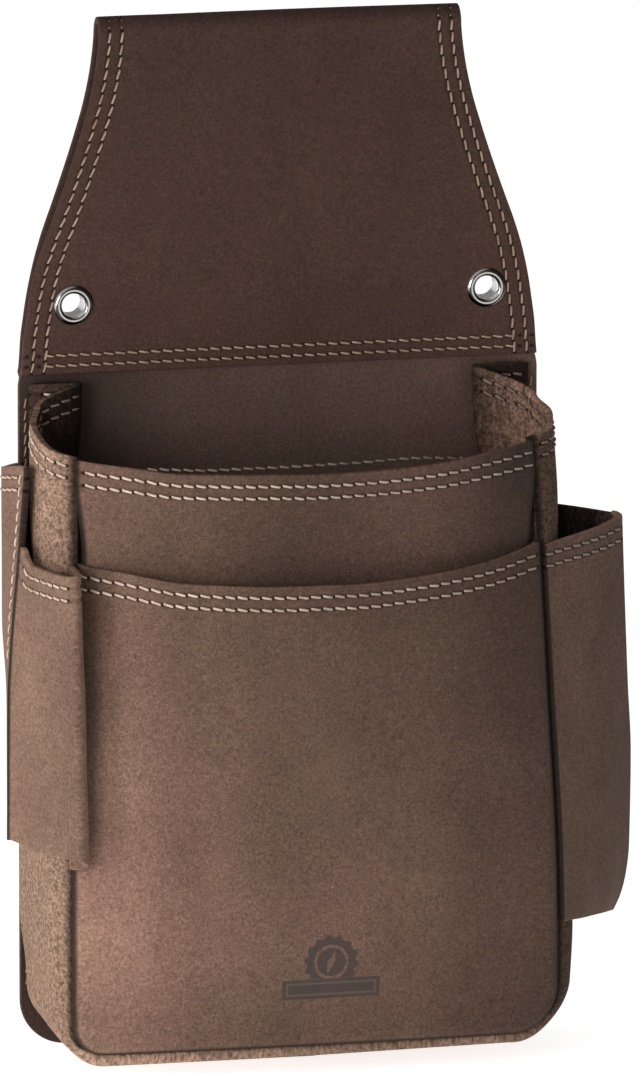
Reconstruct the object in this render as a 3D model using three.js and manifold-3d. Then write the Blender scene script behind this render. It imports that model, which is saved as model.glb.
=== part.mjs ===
// Electrician's tool pouch: a leather pouch with a bellows gusset, a front pocket, two side
// pockets and a folded belt loop riveted with two eyelets. Millimetres, Z up, front towards -Y.
// The origin is the centre of the belt tunnel. Heights below are measured from the lower edge
// of the back panel and are shifted to the origin when each piece is placed.
import * as THREE from "three";
import Module from "manifold-3d";

const wasm = await Module();
wasm.setup();

// Driving sizes
const LEATHER = 2.2;
const PLY_PITCH = 2.5;
const TUNNEL_HEIGHT = 300;
const PANEL_HALF_WIDTH = 88.3;
const PANEL_CORNER = 15;
const HINGE_HEIGHT = 226;
const HINGE_GAP = 1.2;
const LOOP_FOLD_HEIGHT = 343.4;
const LOOP_FRONT_EDGE = 228.9;
const LOOP_OPENING = 4.1;
const TAB_TOP = 241;
const TAIL_BOTTOM = 188;
const TAIL_HALF_WIDTH = 84;
const EYELET_X = 70.4;
const EYELET_HEIGHT = 252;
const EYELET_BORE = 4;
const EYELET_FLANGE = 6.75;
const FRONT_SEAM_HEIGHT = 8;
const FRONT_CORNER = 12;
const FRONT_CURL = 4;
const SEAM_GAP = 1.4;
const LINING_PITCH = 2.6;
const MAIN_LIP = 202;
const MAIN_LIP_RISE = 5;
const POCKET_LIP = 165;
const POCKET_LIP_RISE = 8.5;
const POCKET_MOUTH_GAP = 7.5;
const GUSSET_REAR_X = 84.3;
const GUSSET_REAR_DEPTH = 2.2;
const GUSSET_CORNER_PULL = 0.95;
const PLEAT_DEPTH = 14.5;
const RIGHT_POCKET_BOTTOM = 41;
const RIGHT_POCKET_LIP = 174;
const LEFT_POCKET_BOTTOM = 77.5;
const LEFT_POCKET_LIP = 172;
const LEFT_WALL_TOP = 200;
const THREAD_WIDTH = 0.8;
const THREAD_THICK = 0.5;
const THREAD_CLEAR = 0.4;
const LOOP_ROW_OUTER = 3;
const LOOP_ROW_INNER = 7.2;
const LOOP_STITCH_START = 230.5;
const ROW_OUTER = 3.2;
const ROW_INNER = 7.3;

const nubuck = { color: 0x5a463c, roughness: 0.85, metalness: 0 };
const suede = { color: 0x8a7263, roughness: 0.95, metalness: 0 };
const thread = { color: 0xc9b48f, roughness: 0.8, metalness: 0 };
const nickel = { color: 0xd8d8d6, roughness: 0.25, metalness: 1 };

// Small maths helpers
function mix(a, b, t) {
  return a + (b - a) * t;
}

function smooth(lo, hi, x) {
  const t = Math.min(1, Math.max(0, (x - lo) / (hi - lo)));
  return t * t * (3 - 2 * t);
}

function table(rows, x) {
  if (x <= rows[0][0]) return rows[0][1];
  for (let i = 1; i < rows.length; i++) {
    const [x0, y0] = rows[i - 1];
    const [x1, y1] = rows[i];
    if (x <= x1) return mix(y0, y1, (x - x0) / (x1 - x0));
  }
  return rows[rows.length - 1][1];
}

function steps(lo, hi, count) {
  return Array.from({ length: count + 1 }, (_, i) => mix(lo, hi, i / count));
}

function planPoint(points, t) {
  const curve = new THREE.CatmullRomCurve3(
    points.map(([x, d]) => new THREE.Vector3(x, -d, 0)),
    false,
    "centripetal",
  );
  return curve.getPoint(t);
}

// The normal of a surface point(u, v), pointing along du x dv
function slopeNormal(point, u, v, box) {
  const e = 1e-3;
  const du = point(Math.min(u + e, box[1]), v).sub(point(Math.max(u - e, box[0]), v));
  const dv = point(u, Math.min(v + e, box[3])).sub(point(u, Math.max(v - e, box[2])));
  return du.cross(dv).normalize();
}

// A closed leather sheet about the mid-surface point(u, v), sampled at the values us and vs
function sheet(point, us, vs, thick = LEATHER, normal = null) {
  const box = [us[0], us[us.length - 1], vs[0], vs[vs.length - 1]];
  const nu = us.length;
  const nv = vs.length;
  const half = nu * nv;
  const xyz = new Float32Array(half * 6);
  vs.forEach((v, j) =>
    us.forEach((u, i) => {
      const p = point(u, v);
      const n = normal ? normal(u, v) : slopeNormal(point, u, v, box);
      const k = j * nu + i;
      xyz.set(p.clone().addScaledVector(n, thick / 2).toArray(), k * 3);
      xyz.set(p.clone().addScaledVector(n, -thick / 2).toArray(), (half + k) * 3);
    }),
  );
  const tri = [];
  const quad = (a, b, c, d) => tri.push(a, b, c, a, c, d);
  for (let j = 0; j + 1 < nv; j++) {
    for (let i = 0; i + 1 < nu; i++) {
      const a = j * nu + i;
      quad(a, a + 1, a + nu + 1, a + nu);
      quad(half + a, half + a + nu, half + a + nu + 1, half + a + 1);
    }
    const left = j * nu;
    const right = left + nu - 1;
    quad(left, left + nu, half + left + nu, half + left);
    quad(right, half + right, half + right + nu, right + nu);
  }
  for (let i = 0; i + 1 < nu; i++) {
    const low = i;
    const top = (nv - 1) * nu + i;
    quad(low, half + low, half + low + 1, low + 1);
    quad(top, top + 1, half + top + 1, half + top);
  }
  return new THREE.BufferGeometry()
    .setAttribute("position", new THREE.BufferAttribute(xyz, 3))
    .setIndex(tri);
}

function toManifold(geometry) {
  const vertProperties = new Float32Array(geometry.getAttribute("position").array);
  const triVerts = new Uint32Array(geometry.index.array);
  return new wasm.Manifold(new wasm.Mesh({ numProp: 3, vertProperties, triVerts }));
}

function fromManifold(solid) {
  const made = solid.getMesh();
  return new THREE.BufferGeometry()
    .setAttribute("position", new THREE.BufferAttribute(made.vertProperties, 3))
    .setIndex(new THREE.BufferAttribute(made.triVerts, 1));
}

function drill(geometry, x, z, radius) {
  const bore = wasm.Manifold.cylinder(40, radius, radius, 24, true);
  const placed = bore.rotate([90, 0, 0]).translate([x, 0, z]);
  return fromManifold(toManifold(geometry).subtract(placed));
}

const group = new THREE.Group();
group.name = "electrician_tool_pouch";

function add(name, geometry, finish) {
  const mesh = new THREE.Mesh(geometry, new THREE.MeshStandardMaterial(finish));
  mesh.name = name;
  mesh.position.z = -TUNNEL_HEIGHT;
  group.add(mesh);
}

// A row of stitching laid over a surface: path(t) gives (u, v), side is +1 on the face the
// surface normal points out of and -1 on the other face
function stitchRow(name, point, path, count, side = 1, box = [-1e3, 1e3, -1e3, 1e3], normal = null) {
  const lift = (LEATHER / 2 + THREAD_CLEAR + THREAD_THICK / 2) * side;
  const at = (t) => {
    const [u, v] = path(t);
    const n = normal ? normal(u, v) : slopeNormal(point, u, v, box);
    return [point(u, v).addScaledVector(n, lift), n];
  };
  const e = 1e-3;
  const frame = (t) => {
    const [p, n] = at(t);
    const ahead = at(Math.min(1, t + e))[0];
    const behind = at(Math.max(0, t - e))[0];
    const along = ahead.sub(behind).normalize();
    return { p, n, across: along.cross(n).normalize() };
  };
  const mid = (u, t) => {
    const f = frame(t);
    return f.p.clone().addScaledVector(f.across, u * THREAD_WIDTH);
  };
  const ts = steps(0, 1, count);
  add(name, sheet(mid, [-0.5, 0.5], ts, THREAD_THICK, (u, t) => frame(t).n), thread);
}

// Belt loop: one long piece, up the front, over the fold and down the back
const LOOP_EDGE = [
  [227, 87.3],
  [240, 86.6],
  [247, 85.6],
  [256, 84.2],
  [265, 82.3],
  [274, 79.5],
  [283, 76.2],
  [295, 72],
  [307, 68.2],
  [320, 64.4],
  [332, 62.1],
  [350, 60.9],
];

function loopHalfWidth(height) {
  return table(LOOP_EDGE, height);
}

function loopPoint(across, along) {
  const front = LOOP_FRONT_EDGE;
  if (along <= 1 || along >= 2) {
    const rise = along <= 1 ? along : 3 - along;
    const side = along <= 1 ? -1 : 1;
    const z = mix(front, LOOP_FOLD_HEIGHT, rise);
    const y = side * mix(PLY_PITCH, LOOP_OPENING, smooth(259, 280, z));
    return new THREE.Vector3(across * loopHalfWidth(z), y, z);
  }
  const turn = (along - 1) * Math.PI;
  const z = LOOP_FOLD_HEIGHT + LOOP_OPENING * Math.sin(turn);
  return new THREE.Vector3(across * loopHalfWidth(z), -LOOP_OPENING * Math.cos(turn), z);
}

const loopRise = [0, 0.06, 0.12, 0.2, 0.28, 0.34, 0.4, 0.47, 0.55, 0.64, 0.75, 0.88, 1];
const loopBend = [1.17, 1.33, 1.5, 1.67, 1.83];
const loopFall = loopRise.map((r) => 3 - r).reverse();
const loopRows = [...loopRise, ...loopBend, ...loopFall];
let loopSheet = sheet(loopPoint, steps(-1, 1, 8), loopRows);
loopSheet = drill(loopSheet, -EYELET_X, EYELET_HEIGHT, EYELET_BORE + 0.8);
loopSheet = drill(loopSheet, EYELET_X, EYELET_HEIGHT, EYELET_BORE + 0.8);
add("belt_loop_wrap", loopSheet, nubuck);

// Back panel, cut at the living hinge into the tab above it and the panel below it
function panelSheet(bottom, top, halfWidth, corner, y) {
  const shape = new THREE.Shape();
  const start = Math.max(bottom, 0);
  if (corner > 0) {
    shape.moveTo(-halfWidth, top);
    shape.lineTo(-halfWidth, start + corner);
    shape.absarc(-halfWidth + corner, start + corner, corner, Math.PI, 1.5 * Math.PI, false);
    shape.lineTo(halfWidth - corner, start);
    shape.absarc(halfWidth - corner, start + corner, corner, 1.5 * Math.PI, 2 * Math.PI, false);
    shape.lineTo(halfWidth, top);
  } else {
    shape.moveTo(-halfWidth, top);
    shape.lineTo(-halfWidth, start);
    shape.lineTo(halfWidth, start);
    shape.lineTo(halfWidth, top);
  }
  shape.closePath();
  const options = { depth: LEATHER, bevelEnabled: false, curveSegments: 8 };
  const solid = new THREE.ExtrudeGeometry(shape, options);
  solid.rotateX(Math.PI / 2);
  solid.translate(0, y + LEATHER / 2, 0);
  return solid;
}

const childTop = HINGE_HEIGHT - HINGE_GAP;
const rootBottom = HINGE_HEIGHT + HINGE_GAP;
add("back_panel_tab", panelSheet(rootBottom, TAB_TOP, PANEL_HALF_WIDTH - 0.5, 0, 0), nubuck);
add("back_panel", panelSheet(0, childTop, PANEL_HALF_WIDTH, PANEL_CORNER, 0), nubuck);
add("belt_loop_tail", panelSheet(TAIL_BOTTOM, childTop, TAIL_HALF_WIDTH, 0, PLY_PITCH), nubuck);

// Eyelets and their rear washers
const plyFace = PLY_PITCH + LEATHER / 2;
const flangeBack = -plyFace - 0.3;
const eyeletProfile = [
  [EYELET_BORE, flangeBack - 0.7],
  [EYELET_BORE + 0.6, flangeBack - 1.3],
  [EYELET_BORE + 1.7, flangeBack - 1.3],
  [EYELET_FLANGE - 0.3, flangeBack - 0.8],
  [EYELET_FLANGE, flangeBack - 0.3],
  [EYELET_FLANGE - 0.2, flangeBack],
  [EYELET_BORE + 0.5, flangeBack],
  [EYELET_BORE + 0.5, plyFace + 1.5],
  [EYELET_BORE, plyFace + 1.5],
  [EYELET_BORE, flangeBack - 0.7],
];
const washerProfile = [
  [EYELET_BORE + 0.8, plyFace + 0.3],
  [EYELET_BORE + 0.8, plyFace + 1],
  [EYELET_FLANGE - 0.6, plyFace + 1],
  [EYELET_FLANGE - 0.2, plyFace + 0.3],
  [EYELET_BORE + 0.8, plyFace + 0.3],
];

function ring(profile, reversed) {
  const points = profile.map(([r, y]) => new THREE.Vector2(r, y));
  if (reversed) points.reverse();
  return new THREE.LatheGeometry(points, 24);
}

for (const [side, x] of [
  ["left", -EYELET_X],
  ["right", EYELET_X],
]) {
  add("eyelet_" + side, ring(eyeletProfile, false).translate(x, 0, EYELET_HEIGHT), nickel);
  add("eyelet_washer_" + side, ring(washerProfile, true).translate(x, 0, EYELET_HEIGHT), nickel);
}

// Front panel and front pocket share one bowed surface; layer 0 is the outer pocket panel
const FRONT_HALF_WIDTH = [
  [50, 83.5],
  [130, 80],
  [173, 79],
  [207, 77.5],
];
const EDGE_DEPTH = [
  [40, 60.5],
  [174, 48],
  [208, 42],
];
const POCKET_DEPTH = [
  [8, 62],
  [60, 63.5],
  [120, 63.5],
  [175, 62],
];
const MAIN_DEPTH = [
  [165, 51.9],
  [208, 57.5],
];

function edgeDepth(z) {
  return table(EDGE_DEPTH, z);
}

function frontHalfWidth(z, layer) {
  const full = table(FRONT_HALF_WIDTH, z);
  return layer ? full - LINING_PITCH * (1 - smooth(176, 200, z)) : full;
}

function frontShape(across, z, layer) {
  const bottom = FRONT_SEAM_HEIGHT + layer * LINING_PITCH;
  const corner = FRONT_CORNER - layer * LINING_PITCH;
  const curl = FRONT_CURL - layer * LINING_PITCH;
  const half = frontHalfWidth(z, layer);
  const low = Math.max(0, bottom + corner - z);
  const rowHalf = half - corner + Math.sqrt(Math.max(0, corner * corner - low * low));
  const x = across * rowHalf;
  const qx = Math.abs(x) - (half - corner);
  const qz = bottom + corner - z;
  const out = new THREE.Vector3();
  let inset;
  if (qx > 0 && qz > 0) {
    inset = corner - Math.hypot(qx, qz);
    out.set(Math.sign(x) * qx, 0, -qz).normalize();
  } else if (qx > qz) {
    inset = corner - qx;
    out.set(Math.sign(x), 0, 0);
  } else {
    inset = corner - qz;
    out.set(0, 0, -1);
  }
  const sine = Math.min(1, Math.max(0, 1 - inset / curl));
  const cosine = Math.sqrt(1 - sine * sine);
  const bow = 1 - Math.pow(Math.min(1, Math.abs(x) / half), 2.4);
  let depth = mix(edgeDepth(z), table(POCKET_DEPTH, z), bow);
  if (layer) {
    const open = POCKET_MOUTH_GAP * bow * smooth(40, 135, z);
    depth -= LINING_PITCH + open;
    const high = mix(edgeDepth(z), table(MAIN_DEPTH, z), bow);
    depth = mix(depth, high, smooth(160, 200, z));
  }
  depth -= curl * (1 - cosine);
  return { point: new THREE.Vector3(x, -depth, z), out, sine, cosine };
}

function frontLip(across, layer) {
  const rise = Math.pow(Math.abs(across), 2.4);
  return layer ? MAIN_LIP + MAIN_LIP_RISE * rise : POCKET_LIP + POCKET_LIP_RISE * rise;
}

function frontPoint(layer) {
  return (across, height) => {
    const bottom = FRONT_SEAM_HEIGHT + layer * LINING_PITCH;
    return frontShape(across, bottom + height * (frontLip(across, layer) - bottom), layer).point;
  };
}

function frontNormal(layer) {
  const point = frontPoint(layer);
  return (across, height) => {
    const bottom = FRONT_SEAM_HEIGHT + layer * LINING_PITCH;
    const z = bottom + height * (frontLip(across, layer) - bottom);
    const shape = frontShape(across, z, layer);
    const a = Math.min(0.94, Math.max(-0.94, across));
    const h = Math.max(0.06, Math.min(0.999, height));
    const face = slopeNormal(point, a, h, [-0.945, 0.945, 0.05, 1]);
    return face.multiplyScalar(shape.cosine).addScaledVector(shape.out, shape.sine).normalize();
  };
}

const edgeSteps = [0, 0.4, 1.3, 2.6, 4.2];

function frontAcross() {
  const near = edgeSteps.map((e) => 1 - e / 80);
  const right = [...near].reverse();
  return [...near.map((a) => -a), ...steps(-0.82, 0.82, 10), ...right];
}

function frontHeights() {
  const rows = [...edgeSteps, 8, 12, 20, 40, 65, 90, 115, 140, 158];
  return [...rows.map((e) => e / 175), 1];
}

function frontPanel(layer) {
  return sheet(frontPoint(layer), frontAcross(), frontHeights(), LEATHER, frontNormal(layer));
}

add("front_pocket_panel", frontPanel(0), nubuck);
add("main_front_panel", frontPanel(1), nubuck);

// Gusset: a strip down the side, round the lower corner and along the bottom to the middle seam
const CORNER_START = 0.42;
const CORNER_END = 0.3;
const GUSSET_BULGE = [
  [20, 4.9],
  [45, 5.5],
  [76, 5],
  [125, 5],
  [160, 6.1],
  [190, 7.3],
  [224, 6.5],
];

function gussetProfile(u) {
  return u < 0.5 ? 1 - (1 - 2 * u) ** 3 : 1 - (2 * u - 1) ** 6;
}

function gussetTop(u) {
  return table(
    [
      [0, 221.5],
      [0.12, 223],
      [0.2, 223.5],
      [0.45, 217.5],
      [1, 206.5],
    ],
    u,
  );
}

// Right-hand gusset: u runs from the back panel to the front seam, v from the bottom to the top
function gussetPoint(u, v) {
  let rear;
  let front;
  let away;
  let turned = 0;
  if (v >= CORNER_START) {
    const k = (v - CORNER_START) / (1 - CORNER_START);
    const z = mix(mix(PANEL_CORNER, FRONT_SEAM_HEIGHT + FRONT_CORNER, u), gussetTop(u), k);
    rear = [GUSSET_REAR_X, z];
    front = [table(FRONT_HALF_WIDTH, z), z];
    away = [1, 0];
  } else {
    turned = Math.min(1, (CORNER_START - v) / (CORNER_START - CORNER_END));
    const turn = (turned * Math.PI) / 2;
    away = [Math.cos(turn), -Math.sin(turn)];
    const rearRadius = PANEL_CORNER - PANEL_HALF_WIDTH + GUSSET_REAR_X;
    const rearX = GUSSET_REAR_X - rearRadius;
    const frontX = FRONT_HALF_WIDTH[0][1] - FRONT_CORNER;
    const reach = v < CORNER_END ? v / CORNER_END : 1;
    rear = [mix(0.2, rearX, reach) + rearRadius * away[0], PANEL_CORNER + rearRadius * away[1]];
    front = [
      mix(0.2, frontX, reach) + FRONT_CORNER * away[0],
      FRONT_SEAM_HEIGHT + FRONT_CORNER + FRONT_CORNER * away[1],
    ];
    if (v < CORNER_END) {
      rear[0] = mix(0.2, rearX, reach);
      front[0] = mix(0.2, frontX, reach);
    }
  }
  const x = mix(rear[0], front[0], u);
  const z = mix(rear[1], front[1], u);
  const belly = mix(table(GUSSET_BULGE, z), mix(1.5, 4.4, u), turned);
  const pull = Math.sin(Math.PI * turned) ** 2 * mix(GUSSET_CORNER_PULL, 0.35, smooth(0.3, 0.9, u));
  const fold = u < 0.3 ? Math.sin((Math.PI * u) / 0.3) ** 2 : 0;
  const pleat = PLEAT_DEPTH * smooth(95, 224, z) * fold;
  const off = belly * gussetProfile(u) * (1 - pull) - pleat;
  const depth = mix(GUSSET_REAR_DEPTH, edgeDepth(front[1]) - FRONT_CURL - SEAM_GAP, u);
  return new THREE.Vector3(x + off * away[0], -depth, z + off * away[1]);
}

function leftGusset(u, v) {
  const p = gussetPoint(u, v);
  return new THREE.Vector3(-p.x, p.y, p.z);
}

function rightGusset(u, v) {
  return gussetPoint(1 - u, v);
}

const gussetAcross = [0, 0.06, 0.11, 0.15, 0.19, 0.24, 0.3, 0.4, 0.52, 0.66, 0.78, 0.86, 0.92, 0.965, 1];
const gussetAlong = [
  ...steps(0, CORNER_END, 4),
  ...steps(CORNER_END, CORNER_START, 5).slice(1),
  ...steps(CORNER_START, 1, 10).slice(1),
];
add("gusset_left", sheet(leftGusset, gussetAcross, gussetAlong), suede);
const gussetAcrossRight = gussetAcross.map((u) => 1 - u).reverse();
add("gusset_right", sheet(rightGusset, gussetAcrossRight, gussetAlong), suede);

// Right side pocket: a front ply from the front seam to the outer fold and a rear ply back
function foldX(z) {
  return table(
    [
      [41, 107.4],
      [48, 110.6],
      [55, 112.3],
      [64, 113.3],
      [96, 113.8],
      [120, 112.7],
      [151, 111.5],
      [175, 110.7],
    ],
    z,
  );
}

function rightFrontPlan(z) {
  const seamX = table(FRONT_HALF_WIDTH, z) + 2.2;
  const seamDepth = edgeDepth(z) - 3;
  const outX = foldX(z);
  return [
    [seamX, seamDepth],
    [mix(seamX, outX, 0.4), mix(seamDepth, 26, 0.33)],
    [mix(seamX, outX, 0.78), mix(seamDepth, 26, 0.72)],
    [outX, 26],
  ];
}

function rightFront(u, h) {
  const lip = RIGHT_POCKET_LIP + 1.5 * u;
  const bottom = RIGHT_POCKET_BOTTOM + 2.6 * (1 - u);
  const z = mix(bottom, lip, h);
  const p = planPoint(rightFrontPlan(z), u);
  return p.setZ(z);
}

function rightRear(u, h) {
  const lip = mix(177, RIGHT_POCKET_LIP + 1.5, u);
  const z = mix(RIGHT_POCKET_BOTTOM, lip, h);
  const open = smooth(41, 100, z);
  const plan = rightFrontPlan(z);
  const k = mix(0.8, 0.02, open);
  const inner = gussetPoint(k, CORNER_START + ((1 - CORNER_START) * (z - 22)) / 196);
  const start = [inner.x + mix(3.4, 2.9, open), -inner.y];
  const end = [plan[3][0] - 0.7, plan[3][1] - 2.9];
  const bellyX = mix(start[0], end[0], 0.5);
  const bellyDepth = mix(start[1], end[1], 0.5) - 1.5 * open;
  const p = planPoint([start, [bellyX, bellyDepth], end], 1 - u);
  return p.setZ(z);
}

const pocketHeights = [0, 0.08, 0.16, 0.28, 0.4, 0.52, 0.65, 0.78, 0.9, 1];
add("right_pocket_front", sheet(rightFront, steps(0, 1, 6), pocketHeights), nubuck);
add("right_pocket_rear", sheet((u, h) => rightRear(u, h), steps(0, 1, 5), pocketHeights), suede);

// Left side pocket: a tall side wall and a lower front ply with a proud rolled fold
function leftFoldX(z) {
  return table(
    [
      [77, -98],
      [126, -97.6],
      [141, -96.8],
      [157, -95.5],
      [172, -94.1],
      [200, -91.8],
    ],
    z,
  );
}

function leftWall(u, h) {
  const z = mix(LEFT_POCKET_BOTTOM, LEFT_WALL_TOP, h);
  const full = smooth(118, 150, z);
  const plan = [
    [-88.6, 1.8],
    [mix(-91.4, -93.4, full), 6],
    [mix(-93.8, -96, full), 13],
    [mix(-96.2, mix(-96.6, -94.8, smooth(150, 200, z)), full), 23],
    [leftFoldX(z), 31],
  ];
  return planPoint(plan, u).setZ(z);
}

function leftFront(u, h) {
  const rise = 3.4 * h * (1 - smooth(0, 0.22, u));
  const z = mix(LEFT_POCKET_BOTTOM, LEFT_POCKET_LIP, h) - 3.5 * (1 - h) * smooth(0.5, 1, u) + rise;
  const foldX = leftFoldX(z);
  const edge = edgeDepth(z);
  const seamX = table(FRONT_HALF_WIDTH, z);
  const proud = mix(65, 63.8, h);
  const plan = [
    [foldX - 0.3, 33.8],
    [mix(foldX, -86.6, 0.27), 41],
    [mix(foldX, -86.6, 0.62), 51],
    [-86.6, 60],
    [-83.8, proud + 1],
    [mix(-82.4, -81.2, h), proud - 1.5],
    [-seamX - 2.6, mix(edge + 2.6, edge - 1, h)],
  ];
  return planPoint(plan, u).setZ(z);
}

add("left_pocket_side_wall", sheet(leftWall, steps(0, 1, 6), pocketHeights), nubuck);
const rollSteps = [0, 0.15, 0.3, 0.45, 0.55, 0.62, 0.68, 0.73, 0.78, 0.84, 0.92, 1];
add("left_pocket_front", sheet(leftFront, rollSteps, pocketHeights), nubuck);

// Stitching on the belt loop
function loopAlongAt(z) {
  return (z - LOOP_FRONT_EDGE) / (LOOP_FOLD_HEIGHT - LOOP_FRONT_EDGE);
}

for (const [side, sign] of [
  ["left", -1],
  ["right", 1],
]) {
  for (const [row, inset] of [
    ["outer", LOOP_ROW_OUTER],
    ["inner", LOOP_ROW_INNER],
  ]) {
    const path = (t) => {
      const along = mix(loopAlongAt(LOOP_STITCH_START), 1, t);
      const z = mix(LOOP_FRONT_EDGE, LOOP_FOLD_HEIGHT, along);
      return [sign * (1 - inset / loopHalfWidth(z)), along];
    };
    const start = row === "inner" ? 0.09 : 0;
    stitchRow(
      "thread_loop_" + side + "_" + row,
      loopPoint,
      (t) => path(mix(start, 1, t)),
      18,
      1,
      [-1, 1, 0, 3],
    );
  }
}
for (const [row, height] of [
  ["lower", 231.3],
  ["upper", 234.8],
]) {
  const reach = 1 - 11 / PANEL_HALF_WIDTH;
  const path = (t) => [mix(-reach, reach, t), loopAlongAt(height)];
  stitchRow("thread_loop_hem_" + row, loopPoint, path, 6, 1, [-1, 1, 0, 3]);
}
const panelPoint = (x, z) => new THREE.Vector3(x, 0, z);
stitchRow("thread_tail", panelPoint, (t) => [mix(-66, 66, t), 194], 4);

// Stitching along the lips
for (const [row, inset] of [
  ["upper", ROW_OUTER],
  ["lower", ROW_INNER],
]) {
  for (const [name, layer] of [
    ["thread_front_pocket_", 0],
    ["thread_main_lip_", 1],
  ]) {
    const bottom = FRONT_SEAM_HEIGHT + layer * LINING_PITCH;
    const path = (t) => {
      const across = mix(-0.94, 0.94, t);
      return [across, 1 - inset / (frontLip(across, layer) - bottom)];
    };
    stitchRow(name + row, frontPoint(layer), path, 20, 1, [-1, 1, 0, 1], frontNormal(layer));
  }
  const fall = (inset / 196) * (1 - CORNER_START);
  const left = (t) => [mix(0.34, 0.97, t), 1 - fall];
  const right = (t) => [mix(0.03, 0.66, t), 1 - fall];
  stitchRow("thread_gusset_left_" + row, leftGusset, left, 14, 1, [0, 1, 0, 1]);
  stitchRow("thread_gusset_right_" + row, rightGusset, right, 14, 1, [0, 1, 0, 1]);
  const drop = (z0, z1) => 1 - inset / (z1 - z0);
  const pocket = drop(RIGHT_POCKET_BOTTOM, RIGHT_POCKET_LIP);
  const wall = drop(LEFT_POCKET_BOTTOM, LEFT_WALL_TOP);
  const flap = drop(LEFT_POCKET_BOTTOM, LEFT_POCKET_LIP);
  const pocketPath = (t) => [mix(0.06, 0.95, t), pocket];
  const wallPath = (t) => [mix(0.04, 0.9, t), wall];
  const flapPath = (t) => [mix(0.05, 0.55, t), flap];
  stitchRow("thread_right_pocket_" + row, rightFront, pocketPath, 8, 1, [0, 1, 0, 1]);
  stitchRow("thread_left_wall_" + row, leftWall, wallPath, 8, 1, [0, 1, 0, 1]);
  stitchRow("thread_left_pocket_" + row, leftFront, flapPath, 8, 1, [0, 1, 0, 1]);
}

export default group;
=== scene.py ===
"""Electrician's tool pouch: the leather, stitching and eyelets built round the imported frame.

Surfaces are written in millimetres, with heights measured from the back panel's lower edge,
and are placed in the row frame in metres by place().
"""
import math

import bpy
import numpy as np
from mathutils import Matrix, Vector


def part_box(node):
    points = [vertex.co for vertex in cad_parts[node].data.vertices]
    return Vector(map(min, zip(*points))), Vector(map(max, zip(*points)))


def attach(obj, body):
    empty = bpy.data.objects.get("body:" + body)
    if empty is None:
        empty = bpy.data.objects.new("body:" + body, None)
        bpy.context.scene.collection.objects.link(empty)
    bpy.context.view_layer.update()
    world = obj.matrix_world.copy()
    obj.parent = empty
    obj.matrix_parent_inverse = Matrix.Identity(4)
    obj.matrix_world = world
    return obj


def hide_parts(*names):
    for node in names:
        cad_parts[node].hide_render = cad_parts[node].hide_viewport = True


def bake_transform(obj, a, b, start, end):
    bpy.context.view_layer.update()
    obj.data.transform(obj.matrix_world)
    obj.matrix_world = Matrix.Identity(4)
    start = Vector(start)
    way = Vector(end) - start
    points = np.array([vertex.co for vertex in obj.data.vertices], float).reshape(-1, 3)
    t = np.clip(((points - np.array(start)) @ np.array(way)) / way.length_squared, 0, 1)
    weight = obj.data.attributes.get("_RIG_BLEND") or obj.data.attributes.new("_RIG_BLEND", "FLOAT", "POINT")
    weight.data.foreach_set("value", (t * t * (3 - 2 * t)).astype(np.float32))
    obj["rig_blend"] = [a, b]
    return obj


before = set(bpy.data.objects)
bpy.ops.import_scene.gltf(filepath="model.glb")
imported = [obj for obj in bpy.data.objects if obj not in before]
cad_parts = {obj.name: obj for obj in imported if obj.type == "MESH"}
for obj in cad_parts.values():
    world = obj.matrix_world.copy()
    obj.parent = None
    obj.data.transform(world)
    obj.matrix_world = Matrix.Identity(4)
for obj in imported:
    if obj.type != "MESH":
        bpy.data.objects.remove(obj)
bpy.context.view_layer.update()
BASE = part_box("back_panel")[0][2]

# ---------------------------------------------------------------- sizes, mm
LEATHER = 2.2
CUT_BULGE = 0.5          # how far the rounded cut edge stands out
PLY_PITCH = 2.5
PANEL_HALF = 88.0
PANEL_CORNER = 15.0
LOOP_LOW = 229.2
LOOP_HIGH = 343.2
LOOP_OPEN = 4.1
TAB_TOP = 241.0
TAIL_LOW = 188.0
TAIL_SEAM = 194
TAIL_HALF = 84.0
EYELET_X = 70.4
EYELET_Z = 252.0
SEAM_Z = 9.8
GUSSET_REAR_CORNER = 19.0
FRONT_CORNER = {-1: 9.5, 1: 15.5}
CURL = 2.9
LINING = 2.6
MAIN_LIP, MAIN_RISE = 202.0, 5.0
POCKET_LIP, POCKET_RISE = 165.0, 8.5
MOUTH_GAP = 7.5
PITCH = 4.1
FAR = 900.0              # the seam distance of leather that has no seam
SLANT = 0.34
ROWS = (3.2, 7.3)
BELOW_MOUTH = 5.75       # height under a mouth at which the seam's length is measured
LOOP_ROWS = (3.0, 7.2)
HEM_ROWS = (2.4, 5.9)
EMBLEM_X, EMBLEM_Z = 4.0, 38.0

LOOP_EDGE = [(188, 88), (226, 88), (231, 87.2), (240, 86.6), (247, 85.7), (256, 84.3), (265, 82.3),
             (274, 79.5), (283, 76.2), (295, 72), (307, 68.1), (320, 64.4), (332, 62.1), (342, 61.1),
             (350, 60.9)]
FRONT_HALF = [(0, 81.6), (50, 81.6), (130, 79.2), (173, 78), (207, 76.7)]
EDGE_DEPTH = [(8, 60.5), (40, 60.5), (174, 48), (208, 42)]
POCKET_DEPTH = [(8, 62), (60, 63.5), (120, 63.5), (175, 62)]
MAIN_DEPTH = [(165, 51.9), (208, 57.5)]
GUSSET_BULGE = [(20, 4.6), (45, 5.9), (76, 6.0), (125, 5.9), (160, 6.9), (190, 8.1), (224, 7.2)]
LEFT_FOLD = [(77, -98), (126, -97.6), (141, -96.8), (157, -95.5), (172, -94.1), (200, -91.8)]
RIGHT_FOLD = [(41, 107.4), (48, 110.6), (55, 112.3), (64, 113.3), (96, 113.8), (120, 112.7),
              (151, 111.5), (175, 110.7)]
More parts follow.
